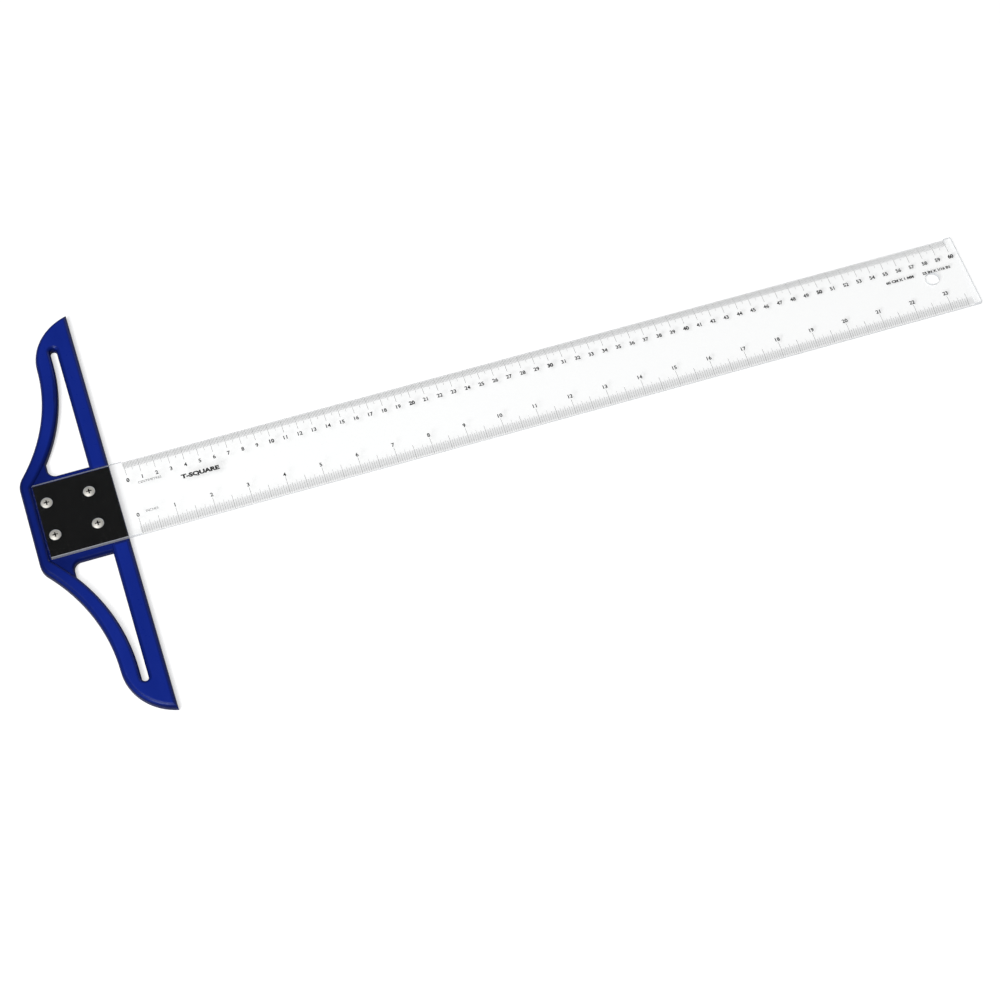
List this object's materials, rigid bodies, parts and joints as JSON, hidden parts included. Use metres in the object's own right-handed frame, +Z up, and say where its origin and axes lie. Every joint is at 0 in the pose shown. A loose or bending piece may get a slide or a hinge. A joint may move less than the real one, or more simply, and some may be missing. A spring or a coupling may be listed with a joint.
{
  "type": "t square",
  "caption": "Drafting T-square: clear bevelled plastic blade with centimetre and inch scales, screwed on top of a symmetric moulded head with finger windows.",
  "frame": {"origin": "on the head's working edge, at the blade's centreline, level with the blade's underside (the drawing board's surface in use)", "axes": "+X along the blade from the working edge to the free end; +Y across the blade towards the centimetre scale; +Z up, out of the printed face"},
  "size_m": [0.6777, 0.3164, 0.0094],
  "materials": {
    "head_plastic": "satin moulded ABS, deep blue",
    "clear_acrylic": "clear polished acrylic with milled bevels",
    "black_pad": "black, seen through the clear blade",
    "screw_steel": "nickel plated, satin",
    "nut_steel": "zinc plated",
    "scale_ink": "dark printed ink of the scales"
  },
  "bodies": {
    "root": {"head": "head_plastic", "blade": "clear_acrylic", "blade_pad": "black_pad", "screw_1": "screw_steel", "screw_2": "screw_steel", "screw_3": "screw_steel", "screw_4": "screw_steel", "nut_1": "nut_steel", "nut_2": "nut_steel", "nut_3": "nut_steel", "nut_4": "nut_steel"}
  },
  "joints": []
}
